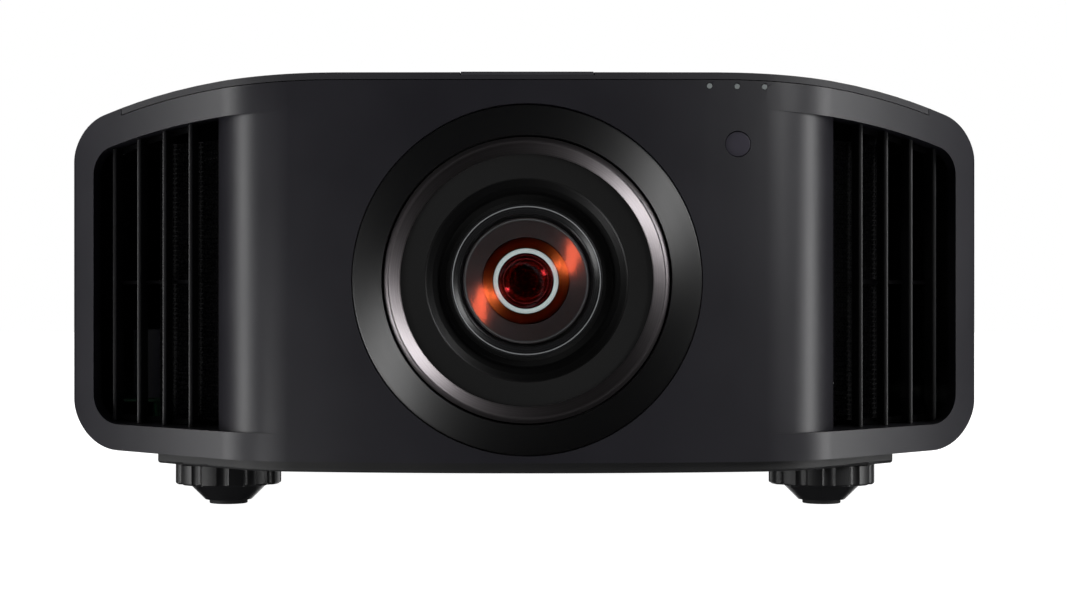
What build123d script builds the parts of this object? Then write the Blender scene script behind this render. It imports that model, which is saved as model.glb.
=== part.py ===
from build123d import *
import math
import os

# Home-cinema projector with a central lens, swept front vents and four screw feet.
# Millimetres. The front faces -Y, +X is to the right of somebody facing it, +Z is up,
# and the origin is on the floor, midway between the sides and between front and rear.

# ---------------------------------------------------------------- driving dimensions
WIDTH = 500.0
DEPTH = 495.0
HEIGHT = 234.0
FRONT = -DEPTH / 2          # Y of the middle of the front face
REAR = DEPTH / 2
HALF = WIDTH / 2

CASE_BOTTOM = 28.0          # underside of the casing
PAN_BOTTOM = 22.2           # underside of the pan that carries the feet
CORNER = 30.0               # corner radius of the casing, seen from the front
WALL = 4.0
LID = 3.4                   # thickness of the top cover
SEAM = 0.4                  # gap between neighbouring casing parts
LENS_Z = 119.0              # height of the lens axis

# Plan of the casing: tangent arcs from the middle outwards, as (radius, end angle).
FRONT_ARCS = [(620.0, 11.16), (70.0, 45.0)]
FRONT_WING = 2900.0
REAR_ARCS = [(2200.0, 3.7), (55.0, 40.0)]
REAR_WING = 900.0
REAR_HALF = 243.0           # the sides draw in a little towards the rear
FRONT_CORNER = 8.0
REAR_CORNER = 12.0

# Crown of the casing's top.
CROWN_FLAT = 95.0           # half-width of the level middle of the section
CROWN_SIDE = 450.0          # radius of the section outside that
CROWN_LONG = 2548.0         # radius of the top seen from the side
CORNER_X = HALF - CORNER
CROWN_TILT = math.asin((CORNER_X - CROWN_FLAT) / (CROWN_SIDE - CORNER))
CORNER_Z = HEIGHT - CROWN_SIDE + (CROWN_SIDE - CORNER) * math.cos(CROWN_TILT)

# Where the casing is split.
LID_HALF = 217.5
FRONT_SEAM = -105.0
REAR_SEAM = 140.0
PAN_INSET = 8.5
PAN_HALF = 196.0

# Vents.
VENT_INNER = 120.0          # X where the front panel starts to turn inwards
SHOULDER = 50.0             # radius of that turn
VENT_RIM = 14.0             # width of the frame round a front vent
VENT_DROP = 4.0             # extra width of the frame along its top
VENT_DEPTH = 36.0
FIN_PITCH = 16.3
FIN_FIRST = 225.5
FIN_COUNT = 4
FIN_THICK = 2.2
FIN_SETBACK = 17.0
FIN_DEPTH = 24.0
TIE_SETBACK = 8.5           # how far behind the noses of the fins their ties run
TIE_THICK = 2.0
INTAKE_INNER = 158.0
INTAKE_OUTER = 226.0
INTAKE_LOW = 52.0
INTAKE_HIGH = 186.0

# Lens mouth, as radius and depth behind the middle of the front face.
BEZEL_R = 87.5
TRIM_R = 72.3
TRIM_CREST_R = 69.8
TRIM_BORE_R = 64.0
BAFFLE_BORE_R = 51.4
BARREL_R = 41.0
GLASS_R = 34.4
INNER_GLASS_R = 15.5

# Lens shift, focus and zoom.
SHIFT_X = 5.3
SHIFT_Z = 6.6
GEAR_MODULE = 1.0
RING_TEETH = 94
PINION_TEETH = 14
BACKLASH = 0.8              # share of a full tooth's thickness that is left
FOCUS_Y = -190.0            # middle of the focus ring's width
ZOOM_Y = -150.0
GEAR_FACE = 12.0
FOCUS_ANGLE = 45.0          # where each pinion sits round the barrel
ZOOM_ANGLE = 135.0
H_PLATE_Y = -84.0           # front face of the plate that slides sideways
V_PLATE_Y = -72.0           # front face of the plate that slides up and down
BASE_Y = -60.0              # front face of the fixed plate
PLATE = 8.0

# Feet.
FRONT_FOOT = (159.7, -152.0)
REAR_FOOT = (150.0, 150.0)
FOOT_PAD_R = 10.2
FOOT_PAD_H = 2.0
FOOT_CONE_LOW_R = 12.5
FOOT_CONE_HIGH_R = 21.0
FOOT_RING_R = 28.2
FOOT_RING_LOW = 10.6
FOOT_RING_HIGH = 21.2
STUD_R = 3.9
STUD_TOP = 35.0

# Cooling fans behind the front vents.
FAN = 92.0
FAN_DEPTH = 25.0
FAN_X = 152.0
FAN_Y = -136.0
FAN_TURN = 45.0

# Control keys on the rear.
KEY_X = -84.0
KEY_Z = 148.0
KEY_STEP = 15.0
KEY_R = 5.0
KEY_SINK = 1.2              # depth of the shallow tray round the keys
KEY_TRAVEL = 0.8
KEY_TRAY = (-110.0, -28.0, 124.0, 172.0)

# Keys: X, Z and radius of each.
KEYS = {
    "ok_button": (KEY_X, KEY_Z, KEY_R + 1),
    "up_button": (KEY_X, KEY_Z + KEY_STEP, KEY_R),
    "down_button": (KEY_X, KEY_Z - KEY_STEP, KEY_R),
    "left_button": (KEY_X + KEY_STEP, KEY_Z, KEY_R),
    "right_button": (KEY_X - KEY_STEP, KEY_Z, KEY_R),
    "power_button": (KEY_X + 3 * KEY_STEP, KEY_Z, KEY_R),
    "menu_button": (KEY_X + KEY_STEP * 2, KEY_Z + KEY_STEP, KEY_R - 1),
}

# Remote sensors and indicator lights, as X and Z.
SENSOR = (105.5, 187.0)
REAR_SENSOR = (60.0, 172.0)
SENSOR_HOLE_R = 6.6
INDICATOR_X = (91.0, 105.0, 119.0)
INDICATOR_Z = 215.8
INDICATOR_R = 1.35

# Centre strip along the top.
SPINE_HALF = 33.0
SPINE_SINK = 1.4            # how deep the strip is let into the top cover
SPINE_END = 150.0
SPINE_GROOVE = 0.5

# Sockets on the main board: X, Z of the lower face, width, height, depth of the cavity.
BOARD_Z = 44.0
BOARD_THICK = 1.6
SOCKET_Z = BOARD_Z + BOARD_THICK
SOCKETS = {
    "hdmi_a": (2.0, SOCKET_Z, 15.4, 6.6, 10.0),
    "hdmi_b": (26.0, SOCKET_Z, 15.4, 6.6, 10.0),
    "network": (50.0, SOCKET_Z, 16.0, 13.6, 12.0),
    "service": (72.0, SOCKET_Z, 13.2, 7.0, 10.0),
    "serial": (98.0, SOCKET_Z, 19.0, 10.6, 6.0),
    "trigger": (122.0, SOCKET_Z, 8.4, 8.4, 12.0),
}
SOCKET_BACK = REAR - 22.0
SOCKET_SINK = 1.0           # how far the sockets sit below the rear surface
INLET = (-104.0, 66.0)      # X and Z of the mains inlet
INLET_SIZE = (30.0, 22.0)

# Bottom pan.
MOUNT_X = 105.0             # half the spacing of the threaded ceiling-mount inserts
MOUNT_Y = 115.0
MOUNT_HOLE_R = 2.5
BOSS_R = 8.0
BOSS_TOP = 38.0
SCREW_PLACES = [
    (-60.0, -190.0), (60.0, -190.0), (-60.0, 200.0), (60.0, 200.0),
    (-185.0, -60.0), (-185.0, 90.0), (185.0, 110.0), (185.0, -80.0),
]

# Light engine.
PRISM_Y = 6.0
PRISM = 42.0
LAMP_Y = 70.0               # Y of the lamp's axis
LAMP_X = (118.0, 204.0)     # open end and closed end of its housing



# ---------------------------------------------------------------- helpers
def save(name, *solids):
    """Writes one node, which may hold several separate solids."""
    pieces = [s for shape in solids for s in shape.solids()]
    node = pieces[0] if len(pieces) == 1 else Compound(children=pieces)
    export_step(node, f"parts/{name}.step")


def block(x, y, z):
    """A box between the two values of x, of y and of z."""
    size = [b - a for a, b in (x, y, z)]
    middle = [(a + b) / 2 for a, b in (x, y, z)]
    return Pos(*middle) * Box(*size)


def mirror_x(shape):
    return shape.mirror(Plane.YZ)


def rod_y(radius, start, end, x=0.0, z=LENS_Z):
    """A cylinder along Y."""
    return Pos(x, (start + end) / 2, z) * Rot(90, 0, 0) * Cylinder(radius, end - start)


def rod_z(radius, low, high, x, y):
    return Pos(x, y, (low + high) / 2) * Cylinder(radius, high - low)


def rod_x(radius, start, end, y, z):
    return Pos((start + end) / 2, y, z) * Rot(0, 90, 0) * Cylinder(radius, end - start)


def behind_front(depth):
    return FRONT + depth


def turned(profile, x=0.0, z=LENS_Z):
    """A solid turned about an axis along Y, from (radius, y) corners."""
    outline = make_face(Polyline(*[(x + r, y, z) for r, y in profile], close=True))
    return revolve(outline, Axis((x, 0, z), (0, 1, 0)), 360)


def arc(centre, radius, start, end):
    """An arc in XY about centre, from one compass angle to another, in degrees."""
    points = []
    for angle in (start, (start + end) / 2, end):
        turn = math.radians(angle)
        points.append((centre[0] + radius * math.cos(turn), centre[1] + radius * math.sin(turn)))
    return ThreePointArc(*points)


def bow(inset, edge_y, side, arcs, wing, half):
    """Half of the plan's front line (side 1) or rear line (side -1), inset inwards, and its end."""
    x, y, tilt = 0.0, edge_y + side * inset, 0.0
    last = math.degrees(math.asin(
        math.sin(math.radians(arcs[-1][1])) + (half - wing_start(arcs)) / wing))
    edges = []
    for radius, end in [*arcs, (wing, last)]:
        r = radius - inset
        start, stop = math.radians(tilt), math.radians(end)
        centre = (x - r * math.sin(start), y + side * r * math.cos(start))
        edges.append(arc(centre, r, side * (tilt - 90), side * (end - 90)))
        x = centre[0] + r * math.sin(stop)
        y = centre[1] - side * r * math.cos(stop)
        tilt = end
    return edges, (x, y)


def wing_start(arcs):
    """How far from the middle the tangent arcs reach before the wing."""
    x, tilt = 0.0, 0.0
    for radius, end in arcs:
        turn = math.radians(end)
        x += radius * (math.sin(turn) - math.sin(tilt))
        tilt = turn
    return x


def plan(inset=0.0, low=-50.0, high=400.0):
    """The plan outline of the casing, inset inwards, as a tall prism."""
    front, front_end = bow(inset, FRONT, 1, FRONT_ARCS, FRONT_WING, HALF)
    rear, rear_end = bow(inset, REAR, -1, REAR_ARCS, REAR_WING, REAR_HALF)
    right = [*front, Line(front_end, rear_end), *reversed(rear)]
    left = [edge.mirror(Plane.YZ) for edge in right]
    face = make_face(Wire([*right, *left]))
    for corner_y, radius in ((front_end[1], FRONT_CORNER), (rear_end[1], REAR_CORNER)):
        if radius - inset > 0.5:
            corners = [v for v in face.vertices() if abs(v.Y - corner_y) < 1e-3]
            face = fillet(corners, radius - inset)
    return Pos(0, 0, low) * extrude(face, amount=high - low, dir=(0, 0, 1))


def crown(inset=0.0):
    """Everything under the crowned top, with its rounded upper corners, inset inwards."""
    floor = -60.0
    side, corner_r = HALF - inset, CORNER - inset
    sine, cosine = math.sin(CROWN_TILT), math.cos(CROWN_TILT)
    half_tilt = CROWN_TILT / 2
    outer = CROWN_SIDE - inset
    crown_z = HEIGHT - CROWN_SIDE
    corner_mid = math.pi / 4 - CROWN_TILT / 2
    right = [
        Line((0, HEIGHT - inset), (CROWN_FLAT, HEIGHT - inset)),
        ThreePointArc(
            (CROWN_FLAT, HEIGHT - inset),
            (CROWN_FLAT + outer * math.sin(half_tilt), crown_z + outer * math.cos(half_tilt)),
            (CROWN_FLAT + outer * sine, crown_z + outer * cosine)),
        ThreePointArc(
            (CORNER_X + corner_r * sine, CORNER_Z + corner_r * cosine),
            (CORNER_X + corner_r * math.cos(corner_mid), CORNER_Z + corner_r * math.sin(corner_mid)),
            (side, CORNER_Z)),
        Line((side, CORNER_Z), (side, floor)),
        Line((side, floor), (0, floor)),
    ]
    left = [edge.mirror(Plane.YZ) for edge in right]
    section = Rot(90, 0, 0) * make_face(Wire([*right, *left]))
    sweep = 7.0
    axis = Axis((0, 0, HEIGHT - CROWN_LONG), (1, 0, 0))
    return revolve(section.rotate(axis, -sweep), axis, 2 * sweep)


def trough(inset=0.0, top=400.0):
    """Everything inside the sides and the rounded lower corners of the casing, inset inwards."""
    radius = CORNER - inset
    section = Rot(90, 0, 0) * Pos(0, (CASE_BOTTOM + inset + top) / 2) * Rectangle(
        2 * (HALF - inset), top - CASE_BOTTOM - inset)
    low = [v for v in section.vertices() if v.Z < CASE_BOTTOM + inset + 1]
    face = fillet(low, radius)
    return Pos(0, DEPTH, 0) * extrude(face, amount=2 * DEPTH, dir=(0, -1, 0))


def front_line(x, inset=0.0):
    """Y of the casing's front surface at x, by walking its arcs."""
    start_x, y, tilt = 0.0, FRONT + inset, 0.0
    for radius, end in [*FRONT_ARCS, (FRONT_WING, 90.0)]:
        r = radius - inset
        stop = math.radians(end)
        reach = start_x + r * (math.sin(stop) - math.sin(tilt))
        if abs(x) < reach:
            here = math.asin(math.sin(tilt) + (abs(x) - start_x) / r)
            return y + r * (math.cos(tilt) - math.cos(here))
        y += r * (math.cos(tilt) - math.cos(stop))
        start_x, tilt = reach, stop
    return y


def rear_line(x):
    """Y of the casing's rear surface at x, near the middle."""
    radius = REAR_ARCS[0][0]
    return REAR - radius + math.sqrt(radius * radius - x * x)


def gear(teeth, bore, width, phase):
    """A spur gear lying in XY with one tooth centred on phase, in degrees."""
    pitch_r = GEAR_MODULE * teeth / 2
    tip_r, root_r = pitch_r + 0.8 * GEAR_MODULE, pitch_r - 1.2 * GEAR_MODULE
    slope = math.tan(math.radians(20))
    half = math.pi * GEAR_MODULE / 4 * BACKLASH
    points = []
    for tooth in range(teeth):
        middle = math.radians(phase) + 2 * math.pi * tooth / teeth
        for r, sign in ((root_r, -1), (tip_r, -1), (tip_r, 1), (root_r, 1)):
            turn = sign * (half - (r - pitch_r) * slope) / pitch_r
            points.append((r * math.cos(middle + turn), r * math.sin(middle + turn)))
    blank = extrude(make_face(Polyline(*points, close=True)), amount=width)
    return blank - Cylinder(bore, 3 * width)


# ---------------------------------------------------------------- casing
outer_plan = plan()
lid_space = (crown(-1.0) - crown(LID + SEAM)) & block((-LID_HALF, LID_HALF), (-DEPTH, DEPTH), (120, 300))


def pan_space(gap):
    """The hole in the casing's bottom that the pan closes, larger than the pan by gap."""
    return plan(PAN_INSET - gap) & block((-PAN_HALF - gap, PAN_HALF + gap), (-DEPTH, DEPTH), (-50, 60))


def make_casing():
    shell = outer_plan & crown() & trough()
    shell -= plan(WALL) & crown(LID + SEAM / 2) & trough(WALL)
    shell -= lid_space
    return shell - pan_space(0.3)


def window(rim, drop, x, y):
    """A front vent's opening: the casing's own outline inset by the rim, between two values of x and y."""
    return (Pos(0, 0, -drop) * crown(rim)) & trough(rim) & block(x, y, (0, 300))


def shoulder_wall():
    """The inward turn of the front panel beside a vent: a quarter ring and a straight tail, full height."""
    tilt = math.radians(FRONT_ARCS[0][1])
    start = (VENT_INNER, front_line(VENT_INNER))
    centre = (start[0] - SHOULDER * math.sin(tilt), start[1] + SHOULDER * math.cos(tilt))
    end_x = centre[0] + SHOULDER
    tail = 14.0
    thick = 3.6
    outer = arc(centre, SHOULDER, FRONT_ARCS[0][1] - 90, 0)
    inner = arc(centre, SHOULDER - thick, 0, FRONT_ARCS[0][1] - 90)
    outline = Wire([
        outer,
        Line((end_x, centre[1]), (end_x, centre[1] + tail)),
        Line((end_x, centre[1] + tail), (end_x - thick, centre[1] + tail)),
        Line((end_x - thick, centre[1] + tail), (end_x - thick, centre[1])),
        inner,
        Line(inner @ 1, outer @ 0),
    ])
    return extrude(make_face(outline), amount=300, dir=(0, 0, 1))


def make_front_cover(shell):
    cover = shell & block((-DEPTH, DEPTH), (-DEPTH, FRONT_SEAM - SEAM / 2), (-50, 300))
    wall = shoulder_wall()
    vent_y = (-DEPTH, FRONT_SEAM - 6)
    lip = 2.6
    opening = window(VENT_RIM, VENT_DROP, (VENT_INNER, HALF), vent_y)
    reveal = window(VENT_RIM - lip, VENT_DROP, (VENT_INNER, HALF - WALL), vent_y)
    reveal = (reveal & (plan(1.0) - plan(VENT_DEPTH))) - opening
    reveal &= block((VENT_INNER + 1, DEPTH), (-DEPTH, FRONT_SEAM - 6), (0, 300))
    turn = wall & window(VENT_RIM - 0.5, VENT_DROP - 0.5, (VENT_INNER - 5, HALF), vent_y)
    keep_clear = block((-VENT_INNER - 40, VENT_INNER), (-DEPTH, 0), (0, 300))
    for side in (False, True):
        parts = (opening - keep_clear, reveal, turn)
        cut, lining, curl = [mirror_x(p) for p in parts] if side else parts
        cover = cover - cut + lining + curl
    cover -= rod_y(BEZEL_R + 0.25, -400, -200)
    cover -= rod_y(SENSOR_HOLE_R, -400, -200, *SENSOR)
    for x in INDICATOR_X:
        cover -= rod_y(INDICATOR_R + 0.2, -400, -200, x, INDICATOR_Z)
    return cover


def make_louvres():
    """A comb of upright fins behind each front vent, tied together top, middle and bottom."""
    fins = []
    for n in range(FIN_COUNT):
        x = FIN_FIRST - n * FIN_PITCH
        y = front_line(x) + FIN_SETBACK
        body = block((x - FIN_THICK / 2, x + FIN_THICK / 2), (y, y + FIN_DEPTH), (0, 300))
        nose = fillet(body.edges().filter_by(Axis.Z).group_by(Axis.Y)[0], FIN_THICK / 2 - 0.1)
        fins.append(nose)
    last_x = FIN_FIRST - (FIN_COUNT - 1) * FIN_PITCH
    frame = window(VENT_RIM + 0.4, VENT_DROP, (0, HALF), (-DEPTH, 0))
    strip = plan(FIN_SETBACK + TIE_SETBACK) - plan(FIN_SETBACK + TIE_SETBACK + TIE_THICK)
    strip &= block((last_x - 1, FIN_FIRST + 1), (-DEPTH, 0), (0, 300))
    low = CASE_BOTTOM + VENT_RIM + 0.4
    ties = strip & block((0, DEPTH), (-DEPTH, 0), (low, low + 3))
    ties += strip & block((0, DEPTH), (-DEPTH, 0), (LENS_Z - 1, LENS_Z + 1))
    ties += strip & (frame - Pos(0, 0, -3) * frame)
    comb = (sum(fins[1:], fins[0]) + ties) & frame
    return comb, mirror_x(comb)


def make_top_cover():
    half = LID_HALF - SEAM
    lid = outer_plan & (crown() - crown(LID)) & block((-half, half), (-DEPTH, DEPTH), (120, 300))
    strip = crown(-5) - crown(SPINE_SINK)
    half = SPINE_HALF + SPINE_GROOVE
    return lid - (strip & block((-half, half), (-DEPTH, SPINE_END + SPINE_GROOVE), (120, 300)))


def make_top_spine():
    strip = outer_plan & (crown(-0.3) - crown(SPINE_SINK))
    return strip & block((-SPINE_HALF, SPINE_HALF), (-DEPTH, SPINE_END), (120, 300))


def intake_window(gap, y=(REAR_SEAM + 4, DEPTH)):
    """A rear intake's opening on the right, smaller than the hole by gap, with rounded corners."""
    x = (INTAKE_INNER + gap, INTAKE_OUTER - gap)
    z = (INTAKE_LOW + gap, INTAKE_HIGH - gap)
    solid = block(x, y, z)
    return fillet(solid.edges().filter_by(Axis.Y), 9 - gap)


def make_rear_cover(shell):
    cover = shell & block((-DEPTH, DEPTH), (REAR_SEAM + SEAM / 2, DEPTH), (-50, 300))
    frame_wall = 2.5
    lining = intake_window(-frame_wall) - intake_window(0)
    lining &= plan(1.0) - plan(20.0)
    hole = intake_window(0)
    for shape in (hole, mirror_x(hole)):
        cover -= shape
    for shape in (lining, mirror_x(lining)):
        cover += shape
    gap = 0.4
    for x, z, wide, tall, _ in SOCKETS.values():
        cover -= block((x - wide / 2 - gap, x + wide / 2 + gap), (200, 300), (z - gap, z + tall + gap))
    wide, tall = INLET_SIZE
    cover -= block((INLET[0] - wide / 2 - gap, INLET[0] + wide / 2 + gap), (200, 300),
                   (INLET[1] - tall / 2 - gap, INLET[1] + tall / 2 + gap))
    tray = block((KEY_TRAY[0], KEY_TRAY[1]), (200, 300), (KEY_TRAY[2], KEY_TRAY[3]))
    tray = fillet(tray.edges().filter_by(Axis.Y), 8)
    cover -= tray & (plan(-1) - plan(KEY_SINK))
    for x, z, radius in KEYS.values():
        cover -= rod_y(radius + 0.3, 200, 300, x, z)
    cover -= rod_y(SENSOR_HOLE_R, 200, 300, *REAR_SENSOR)
    return cover


def make_side_panels(shell):
    """The left and the right one, each reaching under the casing as far as the pan."""
    band = shell & block((-DEPTH, DEPTH), (FRONT_SEAM + SEAM / 2, REAR_SEAM - SEAM / 2), (-50, 300))
    return sorted(band.solids(), key=lambda s: s.center().X)


def foot_places():
    """Each foot's name and place."""
    return {
        "front_left": (-FRONT_FOOT[0], FRONT_FOOT[1]),
        "front_right": FRONT_FOOT,
        "rear_left": (-REAR_FOOT[0], REAR_FOOT[1]),
        "rear_right": REAR_FOOT,
    }


def make_bottom_pan():
    """A tray with the bosses for the feet and for the four ceiling-mount screws."""
    floor = 3.0
    rim = 2.6
    tray = pan_space(0) & block((-HALF, HALF), (-DEPTH, DEPTH), (PAN_BOTTOM, CASE_BOTTOM + 2.2))
    half = PAN_HALF - rim
    inside = plan(PAN_INSET + rim) & block((-half, half), (-DEPTH, DEPTH), (PAN_BOTTOM + floor, 60))
    low_edges = tray.edges().group_by(Axis.Z)[0]
    tray = fillet(low_edges, 1.6) - inside
    for x, y in foot_places().values():
        tray += rod_z(BOSS_R, PAN_BOTTOM + floor - 1, BOSS_TOP, x, y)
        tray -= rod_z(STUD_R + 0.15, 0, BOSS_TOP - 2, x, y)
    for x in (-MOUNT_X, MOUNT_X):
        for y in (-MOUNT_Y, MOUNT_Y):
            tray += rod_z(6.0, PAN_BOTTOM + floor - 1, PAN_BOTTOM + 12, x, y)
            tray -= rod_z(MOUNT_HOLE_R, 0, PAN_BOTTOM + 10, x, y)
    slot_pitch = 8.0
    for n in range(11):
        y = -40 + n * slot_pitch
        tray -= block((120, 180), (y - 1.5, y + 1.5), (0, PAN_BOTTOM + floor + 1))
    for x, y in SCREW_PLACES:
        tray -= rod_z(1.7, 0, 60, x, y)
        tray -= rod_z(3.4, 0, PAN_BOTTOM + 1.4, x, y)
    return tray


def make_case_screws():
    """Pan-head screws, heads let into the underside of the pan."""
    screws = []
    for x, y in SCREW_PLACES:
        head_top = PAN_BOTTOM + 1.4
        head = rod_z(3.0, PAN_BOTTOM - 0.6, head_top, x, y)
        head = fillet(head.edges().group_by(Axis.Z)[0], 0.5)
        cross = block((x - 1.7, x + 1.7), (y - 0.4, y + 0.4), (0, PAN_BOTTOM + 0.5))
        cross += block((x - 0.4, x + 0.4), (y - 1.7, y + 1.7), (0, PAN_BOTTOM + 0.5))
        screws.append(head + rod_z(1.5, head_top, head_top + 8, x, y) - cross)
    return screws


def make_bezel():
    return turned([
        (BEZEL_R, behind_front(6.5)), (BEZEL_R, behind_front(14)), (TRIM_R + 4, behind_front(21)),
        (TRIM_R + 0.7, behind_front(21)), (TRIM_R + 0.7, behind_front(16)),
    ])


def make_trim_ring():
    return turned([
        (TRIM_R, behind_front(15.4)), (TRIM_CREST_R, behind_front(13.4)), (TRIM_BORE_R, behind_front(20.6)),
        (TRIM_BORE_R, behind_front(22.4)), (TRIM_R, behind_front(22.4)),
    ])


def make_baffle():
    return turned([
        (TRIM_R + 2.5, behind_front(22.6)), (TRIM_R + 2.5, behind_front(24.6)),
        (BAFFLE_BORE_R + 0.6, behind_front(24.6)), (BAFFLE_BORE_R, behind_front(24.0)),
        (BAFFLE_BORE_R, behind_front(23.2)), (BAFFLE_BORE_R + 0.6, behind_front(22.6)),
    ])


def make_sensor_window(x, z, face_y, inward):
    """A round filter with a wider flange on the inside. inward is 1 at the front, -1 at the rear."""
    tip, back, flange = [face_y + inward * depth for depth in (0.4, 5.3, 6.9)]
    lens = rod_y(SENSOR_HOLE_R - 0.3, min(tip, back), max(tip, back), x, z)
    return lens + rod_y(8.5, min(back, flange), max(back, flange), x, z)


def make_indicators():
    lights = []
    for x in INDICATOR_X:
        face = front_line(x)
        lights.append(rod_y(INDICATOR_R, face - 0.15, face + 12, x, INDICATOR_Z))
    return lights


# ---------------------------------------------------------------- rear
def make_intake_cover():
    """A slotted cover that follows the rear wing and pulls straight back off its opening."""
    sheet = intake_window(0.5) & (plan(0.2) - plan(3.2))
    slot = 3.4
    pitch = 6.6
    rows = int((INTAKE_HIGH - INTAKE_LOW - 24) / pitch)
    for n in range(rows):
        z = INTAKE_LOW + 14 + n * pitch
        sheet -= block((INTAKE_INNER + 9, INTAKE_OUTER - 9), (0, 300), (z, z + slot))
    return sheet


def make_filter():
    return intake_window(0.8) & (plan(4.4) - plan(15.0))


def make_sockets():
    """Each socket is a metal or plastic shell with its own cavity, soldered to the main board."""
    sockets = []
    wall = 0.9
    for name, (x, z, wide, tall, cavity) in SOCKETS.items():
        face = rear_line(x) - SOCKET_SINK
        shell = block((x - wide / 2, x + wide / 2), (SOCKET_BACK, face), (z, z + tall))
        mouth = face - cavity
        middle = z + tall / 2
        if name == "trigger":
            shell -= rod_y(1.8, mouth, 300, x, middle)
        else:
            half = wide / 2 - wall
            shell -= block((x - half, x + half), (mouth, 300), (z + wall, z + tall - wall))
        roof = z + tall - wall
        if name in ("hdmi_a", "hdmi_b"):
            shell += block((x - 5.2, x + 5.2), (mouth, face - 2.6), (roof - 0.9, roof))
        if name == "service":
            shell += block((x - 4.4, x + 4.4), (mouth, face - 1.6), (roof - 1.2, roof))
        if name == "network":
            for pin in range(8):
                px = x - 4.4 + 1.25 * pin
                shell += block((px - 0.25, px + 0.25), (mouth, face - 3), (roof - 0.8, roof))
        if name == "serial":
            for pin in range(9):
                row, place = (0, pin) if pin < 5 else (1, pin - 4.5)
                pin_z = middle + 1.4 - 2.8 * row
                shell += rod_y(0.5, mouth, face - 1, x - 5.5 + 2.75 * place, pin_z)
        sockets.append(shell)
    return sockets


def make_inlet():
    x, z = INLET
    wide, tall = INLET_SIZE
    face = rear_line(x) - SOCKET_SINK
    body = block((x - wide / 2, x + wide / 2), (SOCKET_BACK - 4, face), (z - tall / 2, z + tall / 2))
    half, rise = wide / 2 - 2.8, tall / 2 - 2.8
    body -= block((x - half, x + half), (face - 17, 300), (z - rise, z + rise))
    for px, pz in ((-7.0, -2.0), (0.0, 2.0), (7.0, -2.0)):
        body += block((x + px - 1, x + px + 1), (face - 17, face - 6), (z + pz - 2, z + pz + 2))
    return body


def make_key(x, z, radius):
    """A round key, flush with the casing's line, with a retaining flange behind the rear cover."""
    top = rear_line(x) - 0.1
    cap = rod_y(radius, top - 9, top, x, z)
    cap = fillet(cap.edges().group_by(Axis.Y)[-1], 0.6)
    return cap + rod_y(radius + 1.4, top - 9.5, top - 7.5, x, z)


def make_key_board():
    """The small upright board that carries the switches behind the keys, with one switch to each key."""
    back = REAR - 17.0
    board = block((KEY_TRAY[0], KEY_TRAY[1]), (back - 1.6, back), (KEY_TRAY[2] + 2, KEY_TRAY[3] - 2))
    for x, z, _ in KEYS.values():
        board += block((x - 3, x + 3), (back - 0.1, back + 3.4), (z - 3, z + 3))
        stem_end = rear_line(x) - 9.6 - KEY_TRAVEL - 0.1
        board += rod_y(1.7, back + 3.3, stem_end, x, z)
    return board


def make_main_board():
    board = block((-24, 132), (108, REAR - 9), (BOARD_Z, BOARD_Z + BOARD_THICK))
    chips = [(10, 140, 34, 4), (70, 150, 27, 3), (110, 190, 18, 2.5), (-8, 200, 14, 3), (60, 200, 12, 2)]
    top = BOARD_Z + BOARD_THICK
    for x, y, side, tall in chips:
        half = side / 2
        board += block((x - half, x + half), (y - half, y + half), (top - 0.1, top + tall))
    for x, y in ((-18, 114), (126, 114)):
        board += rod_z(3.5, PAN_BOTTOM + 3, BOARD_Z + 0.1, x, y)
    return board


def make_power_board():
    board = block((-236, -140), (-50, 120), (50, 51.6))
    parts = []
    for x, y in ((-220, -30), (-196, -30), (-220, 0)):
        parts.append(rod_z(11, 51.5, 92, x, y))
    parts.append(block((-178, -150), (-40, -4), (51.5, 88)))
    parts.append(block((-226, -186), (30, 72), (51.5, 84)))
    for n in range(5):
        parts.append(block((-172 + n * 6, -170 + n * 6), (20, 90), (51.5, 96)))
    parts.append(block((-226, -150), (94, 112), (51.5, 70)))
    for x, floor in ((-214, CASE_BOTTOM + WALL), (-146, PAN_BOTTOM + 3)):
        for y in (-44, 114):
            parts.append(rod_z(3.5, floor, 50.1, x, y))
    return sum(parts, board)


# ---------------------------------------------------------------- lens
def make_barrel():
    """The outer tube, the stepped black bore behind the front glass, and the rear flange."""
    front, flange = behind_front(36), -92.0
    bore = [
        (GLASS_R + 0.3, front), (GLASS_R + 0.3, behind_front(47)), (33.0, behind_front(47)),
        (24.8, behind_front(75)), (24.8, behind_front(79)), (22.6, behind_front(79)),
        (18.9, behind_front(98)), (18.9, behind_front(101)),
        (INNER_GLASS_R + 0.2, behind_front(101)), (INNER_GLASS_R + 0.2, flange - 20),
        (20, flange), (20, -36),
    ]
    skin = [
        (28, -36), (28, H_PLATE_Y), (54, H_PLATE_Y), (54, flange), (BARREL_R, flange), (BARREL_R, front),
    ]
    tube = turned([*bore, *skin])
    for angle, y in ((FOCUS_ANGLE, FOCUS_Y), (ZOOM_ANGLE, ZOOM_Y)):
        x, z = pinion_place(angle)
        arm = block((-7, 7), (y + 12, y + 14.5), (BARREL_R - 1, pinion_distance()))
        arm += rod_y(10.0, y + 12, y + 14.5, 0, pinion_distance())
        tube += Pos(0, 0, LENS_Z) * (Rot(0, 90 - angle, 0) * arm)
        tube -= rod_y(1.58, y + 5, y + 20, x, z)
    return tube


def pinion_distance():
    return GEAR_MODULE * (RING_TEETH + PINION_TEETH) / 2 + 0.15


def pinion_place(angle):
    """X and Z of a pinion's axis."""
    reach, turn = pinion_distance(), math.radians(angle)
    return reach * math.cos(turn), LENS_Z + reach * math.sin(turn)


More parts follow.
